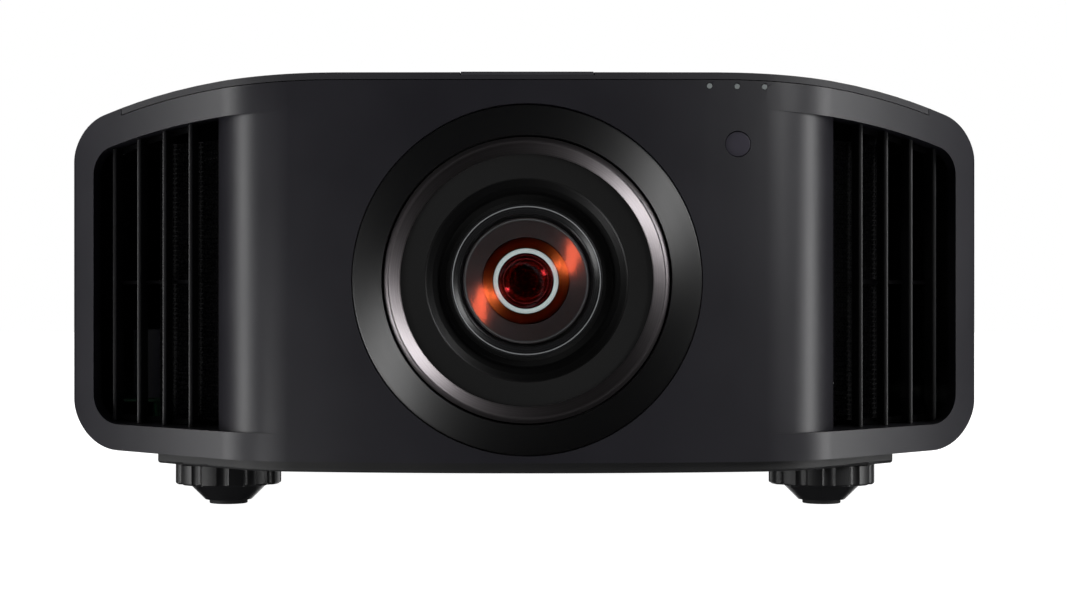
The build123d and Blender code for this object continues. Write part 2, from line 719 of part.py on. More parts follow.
def make_front_ring():
    """The ring that holds the front glass, with two fine steps round its inside."""
    return turned([
        (BARREL_R - 1.8, behind_front(35.8)), (BARREL_R - 1.8, behind_front(31)),
        (BARREL_R - 2.2, behind_front(30.4)), (39.0, behind_front(30.4)), (38.3, behind_front(31.4)),
        (35.2, behind_front(33.0)), (34.6, behind_front(32.6)), (34.0, behind_front(33.2)),
        (34.0, behind_front(34.4)), (GLASS_R + 0.35, behind_front(34.4)),
        (GLASS_R + 0.35, behind_front(35.8)),
    ]) - rod_y(GLASS_R + 0.35, behind_front(34.4), behind_front(36))


def glass(radius, front_y, bulge, hollow, edge):
    """A meniscus: a bulged front, a hollowed back and a cylindrical edge."""
    def curve(sag, start):
        ball_r = (radius * radius + sag * sag) / (2 * sag)
        return start + ball_r - math.sqrt(ball_r * ball_r - radius * radius / 4)
    rim, back = front_y + bulge, front_y + bulge + edge
    outline = Wire([
        ThreePointArc((0, front_y, LENS_Z), (radius / 2, curve(bulge, front_y), LENS_Z),
                      (radius, rim, LENS_Z)),
        Line((radius, rim, LENS_Z), (radius, back, LENS_Z)),
        ThreePointArc((radius, back, LENS_Z), (radius / 2, curve(hollow, back - hollow), LENS_Z),
                      (0, back - hollow, LENS_Z)),
        Line((0, back - hollow, LENS_Z), (0, front_y, LENS_Z)),
    ])
    return revolve(make_face(outline), Axis((0, 0, LENS_Z), (0, 1, 0)), 360)


def make_shroud():
    """A light shield that travels with the lens behind the fixed baffle."""
    return turned([
        (64.0, behind_front(27.0)), (64.0, behind_front(28.6)), (53.0, behind_front(28.6)),
        (45.0, behind_front(38.6)), (BARREL_R, behind_front(38.6)),
        (BARREL_R, behind_front(37.0)), (44.2, behind_front(37.0)), (52.2, behind_front(27.0)),
    ])


def make_ring(y, phase):
    """A geared ring that turns on the barrel, with y in the middle of its width."""
    plane = Plane(origin=(0, y + GEAR_FACE / 2, LENS_Z), x_dir=(1, 0, 0), z_dir=(0, -1, 0))
    return plane * gear(RING_TEETH, BARREL_R + 0.06, GEAR_FACE, phase)


def make_pinion(angle, y, phase):
    x, z = pinion_place(angle)
    plane = Plane(origin=(x, y + GEAR_FACE / 2, z), x_dir=(1, 0, 0), z_dir=(0, -1, 0))
    wheel = plane * gear(PINION_TEETH, 1.0, GEAR_FACE, phase)
    wheel += rod_y(1.5, y - GEAR_FACE / 2, y + 20, x, z)
    return wheel


def make_motor(angle, y):
    x, z = pinion_place(angle)
    body = rod_y(9.0, y + 14.6, y + 32, x, z)
    body = fillet(body.edges().group_by(Axis.Y)[-1], 1.2)
    return body - rod_y(1.56, y + 10, y + 21, x, z)


def make_h_plate():
    """The plate that carries the lens and slides sideways on two rails."""
    half = 58.0
    plate = block((-half, half), (H_PLATE_Y, H_PLATE_Y + PLATE), (LENS_Z - half, LENS_Z + half))
    plate = fillet(plate.edges().filter_by(Axis.Y), 8)
    plate -= rod_y(28.05, H_PLATE_Y - 1, H_PLATE_Y + PLATE + 1)
    for z in (LENS_Z - 48, LENS_Z + 48):
        plate -= block((-80, 80), (H_PLATE_Y + PLATE - 2.2, H_PLATE_Y + PLATE + 1), (z - 3.1, z + 3.1))
    plate += block((-8, 8), (H_PLATE_Y, H_PLATE_Y + PLATE), (LENS_Z + half - 1, LENS_Z + half + 14))
    return plate - rod_x(3.2, -20, 20, H_PLATE_Y + PLATE / 2, LENS_Z + half + 8)


def make_v_plate():
    """The plate that slides up and down, with rails on its front for the sideways plate."""
    half = 68.0
    back = V_PLATE_Y + PLATE
    plate = block((-half, half), (V_PLATE_Y, back), (LENS_Z - half, LENS_Z + half))
    plate -= rod_y(37.0, V_PLATE_Y - 1, back + 1)
    for z in (LENS_Z - 48, LENS_Z + 48):
        plate += block((-66, 66), (V_PLATE_Y - 6, V_PLATE_Y), (z - 3, z + 3))
    for x in (-60, 60):
        plate -= block((x - 3.1, x + 3.1), (back - 2.2, back + 1), (0, 300))
    screw_z = LENS_Z + 66
    for x in (-40, 40):
        stand = block((x - 3, x + 3), (H_PLATE_Y, V_PLATE_Y + 1), (screw_z - 5, screw_z + 5))
        plate += stand - rod_x(3.1, x - 5, x + 5, H_PLATE_Y + PLATE / 2, screw_z)
    plate += block((half - 1, half + 16), (V_PLATE_Y, back), (LENS_Z - 6, LENS_Z + 6))
    return plate - rod_z(3.2, LENS_Z - 10, LENS_Z + 10, half + 9, V_PLATE_Y + PLATE / 2)


def make_shift_base():
    """The fixed plate of the lens mount, with upright rails and the brackets of the lifting screw."""
    back = BASE_Y + PLATE
    plate = block((-92, 92), (BASE_Y, back), (42, LENS_Z + 82))
    plate -= rod_y(42.0, BASE_Y - 1, back + 1)
    for x in (-60, 60):
        plate += block((x - 3, x + 3), (BASE_Y - 6, BASE_Y), (LENS_Z - 74, LENS_Z + 74))
    for z in (LENS_Z - 34, LENS_Z + 34):
        arm = block((71, 83), (V_PLATE_Y - 2, BASE_Y + 1), (z - 3, z + 3))
        plate += arm - rod_z(3.1, z - 5, z + 5, 77, V_PLATE_Y + PLATE / 2)
    return plate


def make_v_screw():
    x, y = 77.0, V_PLATE_Y + PLATE / 2
    screw = rod_z(3.0, LENS_Z - 40, LENS_Z + 40, x, y)
    return screw + rod_z(5.5, LENS_Z + 40, LENS_Z + 46, x, y)


def make_h_screw():
    y, z = H_PLATE_Y + PLATE / 2, LENS_Z + 66
    screw = rod_x(3.0, -46, 46, y, z)
    return screw + rod_x(5.5, 46, 52, y, z)


# ---------------------------------------------------------------- light engine
def make_optical_frame():
    """The casting under the optics, standing on the pan."""
    plate = block((-100, 96), (-66, 98), (36, 42))
    plate += block((-30, 30), (PRISM_Y - 30, PRISM_Y + 30), (41, LENS_Z - PRISM / 2))
    plate -= block((-22, 22), (PRISM_Y - 40, PRISM_Y + 40), (48, LENS_Z - PRISM / 2 - 6))
    for x in (-90, 86):
        for y in (-56, 88):
            plate += rod_z(6, PAN_BOTTOM + 3, 37, x, y)
    return plate


def make_prism():
    """The cube that joins the red, green and blue images."""
    half = PRISM / 2
    cube = block((-half, half), (PRISM_Y - half, PRISM_Y + half), (LENS_Z - half, LENS_Z + half))
    return chamfer(cube.edges(), 0.8)


def panel_places():
    """Each imaging panel's turn about the prism's upright axis."""
    return (0, 90, -90)


def place_round_prism(shape, turn):
    return Pos(0, PRISM_Y, 0) * Rot(0, 0, turn) * shape


def make_panels():
    start = PRISM / 2 + 4
    module = block((-16, 16), (start, start + 4), (LENS_Z - 15, LENS_Z + 15))
    module -= block((-8, 8), (start - 1, start + 1), (LENS_Z - 5, LENS_Z + 5))
    return [place_round_prism(module, turn) for turn in panel_places()]


def make_heat_sinks():
    start = PRISM / 2 + 8.2
    sink = block((-18, 18), (start, start + 4), (LENS_Z - 20, LENS_Z + 20))
    for n in range(8):
        x = -17.5 + n * 5
        sink += block((x - 0.7, x + 0.7), (start + 3.9, start + 22), (LENS_Z - 20, LENS_Z + 20))
    return [place_round_prism(sink, turn) for turn in panel_places()]


def make_lamp_housing():
    """A box open towards the optics, slotted for cooling air."""
    y, reach, wall = LAMP_Y, 37.0, 2.2
    shell = block(LAMP_X, (y - reach, y + reach), (LENS_Z - reach, LENS_Z + reach))
    shell -= block((LAMP_X[0] - 1, LAMP_X[1] - wall), (y - reach + wall, y + reach - wall),
                   (LENS_Z - reach + wall, LENS_Z + reach - wall))
    for n in range(7):
        x = LAMP_X[0] + 12 + n * 10
        shell -= block((x, x + 4), (y - 24, y + 24), (LENS_Z, 300))
    for ys in (y - 28, y + 28):
        shell += block((150, 158), (ys - 4, ys + 4), (PAN_BOTTOM + 3, LENS_Z - reach + 0.5))
    return shell


def make_reflector():
    """An elliptical glass bowl with its mouth towards -X and a neck for the burner."""
    y = LAMP_Y
    rows = 9
    outer, inner = [], []
    for n in range(rows):
        turn = math.radians(12 + 78 * n / (rows - 1))
        outer.append((32 * math.sin(turn), LAMP_X[0] + 14 + 46 * math.cos(turn)))
        inner.append((29.5 * math.sin(turn), LAMP_X[0] + 14 + 43 * math.cos(turn)))
    profile = [*outer, *reversed(inner)]
    face = make_face(Polyline(*[(x, y + r, LENS_Z) for r, x in profile], close=True))
    return revolve(face, Axis((0, y, LENS_Z), (1, 0, 0)), 360)


def make_burner():
    """The quartz tube with its round bulb and the ceramic cap that holds it, turned in one profile."""
    start, neck, end = LAMP_X[0] + 20, LAMP_X[1] - 20, LAMP_X[1] - 4
    middle, bulb_r, tube_r, cap_r = LAMP_X[0] + 36, 7.0, 4.2, 5.6
    reach = math.sqrt(bulb_r * bulb_r - tube_r * tube_r)
    outline = Wire([
        Line((start, LAMP_Y), (start, LAMP_Y + tube_r)),
        Line((start, LAMP_Y + tube_r), (middle - reach, LAMP_Y + tube_r)),
        ThreePointArc((middle - reach, LAMP_Y + tube_r), (middle, LAMP_Y + bulb_r),
                      (middle + reach, LAMP_Y + tube_r)),
        Line((middle + reach, LAMP_Y + tube_r), (neck, LAMP_Y + tube_r)),
        Line((neck, LAMP_Y + tube_r), (neck, LAMP_Y + cap_r)),
        Line((neck, LAMP_Y + cap_r), (end, LAMP_Y + cap_r)),
        Line((end, LAMP_Y + cap_r), (end, LAMP_Y)),
        Line((end, LAMP_Y), (start, LAMP_Y)),
    ])
    face = Pos(0, 0, LENS_Z) * make_face(outline)
    return revolve(face, Axis((0, LAMP_Y, LENS_Z), (1, 0, 0)), 360)


# ---------------------------------------------------------------- cooling
def fan_location(side):
    """Local +Y is the way the air leaves. side is 1 on the right, -1 on the left."""
    return Location((side * FAN_X, FAN_Y, LENS_Z), (0, 0, 180 + side * FAN_TURN))


def make_fan_frame():
    half = FAN / 2
    frame = block((-half, half), (-FAN_DEPTH / 2, FAN_DEPTH / 2), (-half, half))
    frame = fillet(frame.edges().filter_by(Axis.Y), 5)
    frame -= rod_y(half - 2.5, -50, 50, 0, 0)
    frame += rod_y(17, -FAN_DEPTH / 2, -FAN_DEPTH / 2 + 4, 0, 0)
    for turn in (45, 165, 285):
        strut = block((15, half - 1), (-FAN_DEPTH / 2, -FAN_DEPTH / 2 + 3), (-1.8, 1.8))
        frame += Rot(0, turn, 0) * strut
    frame -= rod_y(1.56, -50, -FAN_DEPTH / 2 + 5, 0, 0)
    for x in (-half + 5.5, half - 5.5):
        for z in (-half + 5.5, half - 5.5):
            frame -= rod_y(2.1, -50, 50, x, z)
    return frame


def make_fan_rotor():
    low, high = -FAN_DEPTH / 2 + 5.5, FAN_DEPTH / 2 - 1
    hub = rod_y(17.5, low, high, 0, 0)
    hub = fillet(hub.edges().group_by(Axis.Y)[-1], 2)
    middle = (low + high) / 2
    for n in range(7):
        blade = Pos(28.5, middle, 0) * Rot(32, 0, 0) * Box(25, 1.4, 17)
        hub += Rot(0, n * 360 / 7, 0) * blade
    hub &= rod_y(41.5, low, high, 0, 0)
    return hub + rod_y(1.5, -FAN_DEPTH / 2 + 0.5, low + 1, 0, 0)


# ---------------------------------------------------------------- feet
def make_foot_pad(x, y):
    """A rubber pad on a pin that turns in the wheel above it."""
    pad = rod_z(FOOT_PAD_R, 0, FOOT_PAD_H, x, y)
    pad = fillet(pad.edges().group_by(Axis.Z)[0], 0.5)
    return pad + rod_z(2.5, FOOT_PAD_H, 9.0, x, y)


def make_foot_wheel(x, y):
    """The knurled wheel, its cone and the threaded stud, in one piece."""
    cone_low = FOOT_PAD_H + 0.15
    cone_tall = FOOT_RING_LOW - cone_low
    ring_tall = FOOT_RING_HIGH - FOOT_RING_LOW
    cone = Pos(0, 0, cone_low + cone_tall / 2) * Cone(FOOT_CONE_LOW_R, FOOT_CONE_HIGH_R, cone_tall)
    ring = Pos(0, 0, FOOT_RING_LOW + ring_tall / 2) * Cylinder(FOOT_RING_R, ring_tall)
    grips = 12
    for n in range(grips):
        turn = 2 * math.pi * n / grips
        reach = FOOT_RING_R + 3.4
        ring -= Pos(reach * math.cos(turn), reach * math.sin(turn), FOOT_RING_LOW) * Cylinder(5.0, 40)
    ring = fillet(ring.edges().group_by(Axis.Z)[0], 1.2)
    stud = Pos(0, 0, (FOOT_RING_HIGH + STUD_TOP) / 2) * Cylinder(STUD_R, STUD_TOP - FOOT_RING_HIGH)
    wheel = cone + ring + stud
    wheel -= Pos(0, 0, 5) * Cylinder(2.56, 10)
    return Pos(x, y, 0) * wheel


# ---------------------------------------------------------------- write every node
def main():
    os.makedirs("parts", exist_ok=True)
    shell = make_casing()
    save("front_cover", make_front_cover(shell))
    save("front_louvres", *make_louvres())
    save("top_cover", make_top_cover())
    save("top_spine", make_top_spine())
    left, right = make_side_panels(shell)
    save("side_panel_left", left)
    save("side_panel_right", right)
    save("rear_cover", make_rear_cover(shell))
    save("bottom_pan", make_bottom_pan())
    save("case_screws", *make_case_screws())
    save("lens_bezel", make_bezel())
    save("lens_trim_ring", make_trim_ring())
    save("lens_baffle", make_baffle())
    save("sensor_windows", make_sensor_window(*SENSOR, front_line(SENSOR[0]) + 0.7, 1),
         make_sensor_window(*REAR_SENSOR, REAR - 0.9, -1))
    save("indicator_lights", *make_indicators())
    cover = make_intake_cover()
    save("intake_cover_right", cover)
    save("intake_cover_left", mirror_x(cover))
    pad = make_filter()
    save("air_filters", pad, mirror_x(pad))
    save("rear_sockets", *make_sockets())
    save("power_inlet", make_inlet())
    for name, (x, z, radius) in KEYS.items():
        save(name, make_key(x, z, radius))
    save("main_board", make_main_board())
    save("key_board", make_key_board())
    save("power_board", make_power_board())
    save("lens_barrel", make_barrel())
    save("lens_front_ring", make_front_ring())
    save("lens_elements", glass(GLASS_R, behind_front(31.2), 4.2, 3.0, 8.0),
         glass(INNER_GLASS_R, behind_front(100), 3.0, 2.0, 5.0))
    save("lens_shroud", make_shroud())
    half_tooth = 180 / RING_TEETH
    for name, y, angle in (("focus", FOCUS_Y, FOCUS_ANGLE), ("zoom", ZOOM_Y, ZOOM_ANGLE)):
        save(f"{name}_ring", make_ring(y, angle + half_tooth))
        save(f"{name}_pinion", make_pinion(angle, y, angle + 180))
    save("lens_motors", make_motor(FOCUS_ANGLE, FOCUS_Y), make_motor(ZOOM_ANGLE, ZOOM_Y))
    save("horizontal_carriage", make_h_plate())
    save("vertical_carriage", make_v_plate())
    save("shift_base", make_shift_base())
    save("vertical_screw", make_v_screw())
    save("horizontal_screw", make_h_screw())
    save("optical_frame", make_optical_frame())
    save("prism_block", make_prism())
    save("imaging_panels", *make_panels())
    save("panel_heat_sinks", *make_heat_sinks())
    save("lamp_housing", make_lamp_housing())
    save("lamp", make_reflector(), make_burner())
    frame, rotor = make_fan_frame(), make_fan_rotor()
    save("fan_frames", *[frame.moved(fan_location(side)) for side in (-1, 1)])
    for side, hand in ((-1, "left"), (1, "right")):
        save(f"fan_rotor_{hand}", rotor.moved(fan_location(side)))
    for name, (x, y) in foot_places().items():
        save(f"foot_pad_{name}", make_foot_pad(x, y))
        save(f"foot_wheel_{name}", make_foot_wheel(x, y))


main()
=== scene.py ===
import math

import bpy
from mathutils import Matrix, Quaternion, Vector


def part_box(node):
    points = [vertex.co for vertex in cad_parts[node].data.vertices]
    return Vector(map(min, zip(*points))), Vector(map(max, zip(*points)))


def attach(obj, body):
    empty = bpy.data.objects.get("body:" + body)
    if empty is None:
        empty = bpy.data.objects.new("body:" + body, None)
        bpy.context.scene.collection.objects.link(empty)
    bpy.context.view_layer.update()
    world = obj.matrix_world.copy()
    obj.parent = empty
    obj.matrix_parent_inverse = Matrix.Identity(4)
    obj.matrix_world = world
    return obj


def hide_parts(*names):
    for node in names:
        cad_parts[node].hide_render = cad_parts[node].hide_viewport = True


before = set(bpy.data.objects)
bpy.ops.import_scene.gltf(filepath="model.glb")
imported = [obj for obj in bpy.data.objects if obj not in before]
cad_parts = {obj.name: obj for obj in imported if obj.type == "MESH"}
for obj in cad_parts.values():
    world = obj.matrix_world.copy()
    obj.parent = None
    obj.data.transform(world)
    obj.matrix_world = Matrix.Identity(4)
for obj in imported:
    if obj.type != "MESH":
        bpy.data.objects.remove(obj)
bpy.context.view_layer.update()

# ---------------------------------------------------------------- studio
# A flat white paper lies under the projector. Two tall soft boxes stand to the sides in front,
# the left one low and the right one high, a narrow strip close to each side lights the shoulders, and
# two small boxes beside the camera put the points of light in the deep glasses. One box behind and
# one above light the rear and the top.
camera_data = bpy.data.cameras.new("camera")
camera_data.sensor_width = 36.0
camera_data.lens = 74.85    # mm
camera_data.shift_x = 0.0323
camera = bpy.data.objects.new("camera", camera_data)
camera.location = (-0.014, -1.3475, 0.107)
camera.rotation_euler = (math.radians(90), 0, 0)
bpy.context.scene.collection.objects.link(camera)
bpy.context.scene.camera = camera
bpy.context.scene.view_settings.view_transform = "Standard"

world = bpy.data.worlds.new("studio")
world.use_nodes = True
world.node_tree.nodes["Background"].inputs["Color"].default_value = (1.0, 1.0, 1.0, 1.0)
world.node_tree.nodes["Background"].inputs["Strength"].default_value = 1.0
world.cycles_visibility.glossy = False
bpy.context.scene.world = world


def soft_box(name, place, aim, wide, tall, power, lean=0.0):
    lamp = bpy.data.lights.new(name, "AREA")
    lamp.shape = "RECTANGLE"
    lamp.size, lamp.size_y, lamp.energy = wide, tall, power
    lamp_object = bpy.data.objects.new(name, lamp)
    lamp_object.location = place
    turn = (Vector(aim) - Vector(place)).to_track_quat("-Z", "Y")
    turn.rotate(Quaternion(Vector(aim) - Vector(place), math.radians(lean)))
    lamp_object.rotation_euler = turn.to_euler()
    bpy.context.scene.collection.objects.link(lamp_object)


lens_front = (0, -0.2, 0.119)
soft_box("soft_box_left", (-1.53, -1.14, -0.76), lens_front, 0.45, 1.5, 12.5, 30)
soft_box("soft_box_right", (1.53, -1.14, 1.0), lens_front, 0.45, 1.5, 14, 30)
soft_box("side_strip_left", (-0.60, -0.23, 0.13), (-0.15, -0.2, 0.12), 0.12, 0.55, 1.1)
soft_box("side_strip_right", (0.60, -0.22, 0.13), (0.15, -0.2, 0.12), 0.12, 0.55, 1.3)
soft_box("lens_box_left", (-1.165, -1.73, -0.42), lens_front, 0.25, 0.25, 1.4)
soft_box("lens_box_right", (1.165, -1.73, 0.66), lens_front, 0.25, 0.25, 1.4)
soft_box("low_box_behind", (0.2, 2.2, -0.45), (0, 0.25, 0.12), 2.6, 1.2, 13)
soft_box("box_above", (0, 0.9, 1.9), (0, 0, 0.2), 1.2, 0.8, 2.5)


def paper_sweep():
    bpy.ops.object.select_all(action="DESELECT")
    bpy.ops.mesh.primitive_plane_add(size=14, location=(0, 0, 0))
    paper = bpy.context.object
    paper.name = "paper_sweep"
    white = bpy.data.materials.new("white_paper")
    white.use_nodes = True
    surface = white.node_tree.nodes["Principled BSDF"]
    surface.inputs["Base Color"].default_value = (0.35, 0.35, 0.35, 1)
    surface.inputs["Emission Color"].default_value = (1, 1, 1, 1)
    surface.inputs["Emission Strength"].default_value = 1.0
    surface.inputs["Roughness"].default_value = 0.95
    surface.inputs["Specular IOR Level"].default_value = 0.0
    paper.data.materials.append(white)
    paper.visible_glossy = False
    paper.visible_shadow = False


paper_sweep()

# ---------------------------------------------------------------- casing shells
# Front cover, side panels and rear cover are injection-moulded in charcoal plastic about 4 mm thick.
# Their faces carry a fine spark-eroded satin grain, and every outer edge has a small moulded radius.
shell_edge = 0.0008
charcoal = (0.0063, 0.0059, 0.0084)


def start_material(name):
    material = bpy.data.materials.new(name)
    material.use_nodes = True
    return material, material.node_tree, material.node_tree.nodes["Principled BSDF"]


def object_place(tree):
    return tree.nodes.new("ShaderNodeTexCoord").outputs["Object"]


def noise_of(tree, place, scale, detail=2.0, roughness=0.5):
    noise = tree.nodes.new("ShaderNodeTexNoise")
    noise.inputs["Scale"].default_value = scale
    noise.inputs["Detail"].default_value = detail
    noise.inputs["Roughness"].default_value = roughness
    tree.links.new(place, noise.inputs["Vector"])
    return noise.outputs["Fac"]


def spread(tree, value, low, high, start=0.3, end=0.7):
    """The value between start and end becomes low to high."""
    node = tree.nodes.new("ShaderNodeMapRange")
    for socket, number in zip(("From Min", "From Max", "To Min", "To Max"), (start, end, low, high)):
        node.inputs[socket].default_value = number
    tree.links.new(value, node.inputs["Value"])
    return node.outputs["Result"]


def tinted(tree, factor, dark, light):
    ramp = tree.nodes.new("ShaderNodeValToRGB")
    ramp.color_ramp.elements[0].position = 0.3
    ramp.color_ramp.elements[1].position = 0.7
    ramp.color_ramp.elements[0].color = (*dark, 1)
    ramp.color_ramp.elements[1].color = (*light, 1)
    tree.links.new(factor, ramp.inputs["Fac"])
    return ramp.outputs["Color"]


def raised(tree, height, surface, strength, distance):
    bump = tree.nodes.new("ShaderNodeBump")
    bump.inputs["Strength"].default_value = strength
    bump.inputs["Distance"].default_value = distance
    tree.links.new(height, bump.inputs["Height"])
    tree.links.new(bump.outputs["Normal"], surface.inputs["Normal"])
    return bump


def moulded_plastic(name, colour, rough, grain=2600.0, depth=0.00003, drift=0.10, strength=0.35):
    material, tree, surface = start_material(name)
    place = object_place(tree)
    cloud = noise_of(tree, place, 22.0, 3.0)
    tree.links.new(tinted(tree, cloud, [c * (1 - drift) for c in colour], [c * (1 + drift) for c in colour]),
                   surface.inputs["Base Color"])
    tree.links.new(spread(tree, cloud, rough - 0.012, rough + 0.012), surface.inputs["Roughness"])
    raised(tree, noise_of(tree, place, grain, 2.0), surface, strength, depth)
    surface.inputs["Specular IOR Level"].default_value = 0.5
    return material


def dress(piece, *materials):
    piece.data.materials.clear()
    for material in materials:
        piece.data.materials.append(material)


def shell_from(node, name, edge, sharp=28):
    """A copy of a moulded part's form with its corners joined and every sharp edge rounded."""
    bpy.ops.object.select_all(action="DESELECT")
    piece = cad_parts[node].copy()
    piece.data = piece.data.copy()
    piece.parent = None
    for key in [k for k in piece.keys() if k.startswith("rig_")]:
        del piece[key]
    bpy.context.scene.collection.objects.link(piece)
    piece.name = name
    bpy.context.view_layer.objects.active = piece
    piece.select_set(True)
    bpy.ops.object.mode_set(mode="EDIT")
    bpy.ops.mesh.select_all(action="SELECT")
    bpy.ops.mesh.customdata_custom_splitnormals_clear()
    bpy.ops.mesh.remove_doubles(threshold=2e-6)
    bpy.ops.mesh.dissolve_limited(angle_limit=math.radians(0.05))
    bpy.ops.object.mode_set(mode="OBJECT")
    round_edges(piece, edge, sharp)
    return piece


def round_edges(piece, edge, sharp=30, segments=3):
    bpy.ops.object.select_all(action="DESELECT")
    bpy.context.view_layer.objects.active = piece
    piece.select_set(True)
    rounding = piece.modifiers.new("rounding", "BEVEL")
    rounding.width = edge
    rounding.segments = segments
    rounding.limit_method = "ANGLE"
    rounding.angle_limit = math.radians(sharp)
    rounding.miter_outer = "MITER_ARC"
    bpy.ops.object.modifier_apply(modifier=rounding.name)
    bpy.ops.object.shade_smooth_by_angle(angle=math.radians(32))
    weighting = piece.modifiers.new("weighting", "WEIGHTED_NORMAL")
    weighting.keep_sharp = True
    weighting.weight = 100
    bpy.ops.object.modifier_apply(modifier=weighting.name)


casing_plastic = moulded_plastic("charcoal_casing_plastic", charcoal, 0.37)
for node in ("front_cover", "side_panel_left", "side_panel_right", "rear_cover"):
    shell = shell_from(node, node + "_shell", shell_edge)
    dress(shell, casing_plastic)
    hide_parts(node)
    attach(shell, "casing")

# ---------------------------------------------------------------- top cover and centre strip
# The top is one crowned moulding in the same plastic with a rolled front edge. A strip 66 mm wide is
# let into its middle, lacquered a shade lighter and smoother, and bonded into a shallow channel.
lid_plastic = moulded_plastic("charcoal_lid_plastic", (0.0080, 0.0077, 0.0100), 0.56)
lid = shell_from("top_cover", "top_cover_shell", 0.0011)
dress(lid, lid_plastic)
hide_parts("top_cover")
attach(lid, "casing")

strip_lacquer = moulded_plastic("graphite_strip_lacquer", (0.016, 0.016, 0.019), 0.46, 700.0, 0.000003)
strip = shell_from("top_spine", "top_strip", 0.0003)
dress(strip, strip_lacquer)
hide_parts("top_spine")
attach(strip, "casing")

# ---------------------------------------------------------------- bottom pan and its screws
# The pan is pressed from steel sheet and powder coated, so its surface is a coarse orange peel.
# Pan-head screws, zinc plated, hold it to the casing from below.
pan_coat = moulded_plastic("powder_coated_pan", (0.0060, 0.0060, 0.0065), 0.55, 1100.0, 0.00006, 0.15, 0.5)
pan = shell_from("bottom_pan", "bottom_pan_pressing", 0.0007)
dress(pan, pan_coat)
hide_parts("bottom_pan")
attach(pan, "casing")


def plated_metal(name, colour, rough, grain=900.0, depth=0.000012, stretch=(1, 1, 1)):
    material, tree, surface = start_material(name)
    mapping = tree.nodes.new("ShaderNodeMapping")
    mapping.inputs["Scale"].default_value = stretch
    tree.links.new(object_place(tree), mapping.inputs["Vector"])
    place = mapping.outputs["Vector"]
    cloud = noise_of(tree, place, 60.0, 3.0)
    tree.links.new(tinted(tree, cloud, [c * 0.86 for c in colour], [min(1, c * 1.08) for c in colour]),
                   surface.inputs["Base Color"])
    surface.inputs["Metallic"].default_value = 1.0
    grained = noise_of(tree, place, grain, 3.0)
    tree.links.new(spread(tree, grained, rough - 0.06, rough + 0.08), surface.inputs["Roughness"])
    raised(tree, grained, surface, 0.4, depth)
    return material


zinc = plated_metal("bright_zinc", (0.62, 0.62, 0.60), 0.28)
dress(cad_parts["case_screws"], zinc)

# ---------------------------------------------------------------- louvres
# A comb of upright fins stands in each swept vent, moulded in matte black with a rounded front edge.
# Behind them a woven wire screen, blackened, keeps fingers and lint away from the fan.
louvre_plastic = moulded_plastic("matte_louvre_plastic", (0.0055, 0.0054, 0.0060), 0.44, 2200.0)
louvres = shell_from("front_louvres", "front_louvre_combs", 0.0005)
dress(louvres, louvre_plastic)
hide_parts("front_louvres")
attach(louvres, "casing")


vent_tilt = math.radians(46.1)
vent_middle = (0.195, -0.1768, 0.1195)
screen_setback = 0.033
screen_wide, screen_tall = 0.084, 0.150
wire_pitch = 0.00263
wire_thick = 0.0014


def woven_screen(name, side):
    """A flat mesh of thin wire parallel to the swept vent and set back behind it."""
    bpy.ops.object.select_all(action="DESELECT")
    middle = (vent_middle[0] - screen_setback * math.sin(vent_tilt),
              vent_middle[1] + screen_setback * math.cos(vent_tilt), vent_middle[2])
    bpy.ops.mesh.primitive_grid_add(x_subdivisions=round(screen_wide / wire_pitch),
                                    y_subdivisions=round(screen_tall / wire_pitch), size=1,
                                    location=(side * middle[0], middle[1], middle[2]),
                                    rotation=(math.radians(90), 0, side * vent_tilt))
    screen = bpy.context.object
    screen.name = name
    screen.scale = (screen_wide, screen_tall, 1)
    bpy.ops.object.transform_apply(location=True, rotation=True, scale=True)
    wires = screen.modifiers.new("wires", "WIREFRAME")
    wires.thickness = wire_thick
    wires.use_replace = True
    bpy.ops.object.modifier_apply(modifier=wires.name)
    return screen


wire_black = moulded_plastic("blackened_wire", (0.0040, 0.0040, 0.0044), 0.38, 3000.0, 0.00001)
for name, side in (("screen_left", -1), ("screen_right", 1)):
    screen = woven_screen(name, side)
    dress(screen, wire_black)
    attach(screen, "casing")

# ---------------------------------------------------------------- bezel, trim ring and baffle
# The flared bezel and the flat baffle are moulded and painted black. Between them sits a turned
# aluminium ring, clear anodised, pressed against the bezel from behind and glued.
lens_z = 0.119
front_plane = 247.5    # mm from the middle of the casing to its front face, where depths start


def turned_ring(name, section, centre=(0.0, lens_z), sides=160):
    """A ring turned about an axis along Y. Its closed section has (radius, depth) corners in mm."""
    (r, depth), *others = section
    x, z = centre
    bpy.ops.object.select_all(action="DESELECT")
    bpy.ops.mesh.primitive_circle_add(vertices=sides, radius=r / 1000, fill_type="NOTHING",
                                      location=(x, (depth - front_plane) / 1000, z),
                                      rotation=(math.radians(90), 0, 0))
    ring = bpy.context.object
    ring.name = name
    bpy.ops.object.transform_apply(location=True, rotation=True, scale=True)
    bpy.ops.object.mode_set(mode="EDIT")
    bpy.ops.mesh.select_all(action="SELECT")
    for next_r, next_depth in [*others, section[0]]:
        bpy.ops.mesh.extrude_region_move(
            TRANSFORM_OT_translate={"value": (0, (next_depth - depth) / 1000, 0)})
        grow = next_r / r
        bpy.ops.transform.resize(value=(grow, 1, grow), orient_type="GLOBAL",
                                 center_override=(x, 0, z))
        r, depth = next_r, next_depth
    bpy.ops.mesh.select_all(action="SELECT")
    bpy.ops.mesh.remove_doubles(threshold=1e-6)
    bpy.ops.mesh.normals_make_consistent(inside=False)
    bpy.ops.object.mode_set(mode="OBJECT")
    return ring


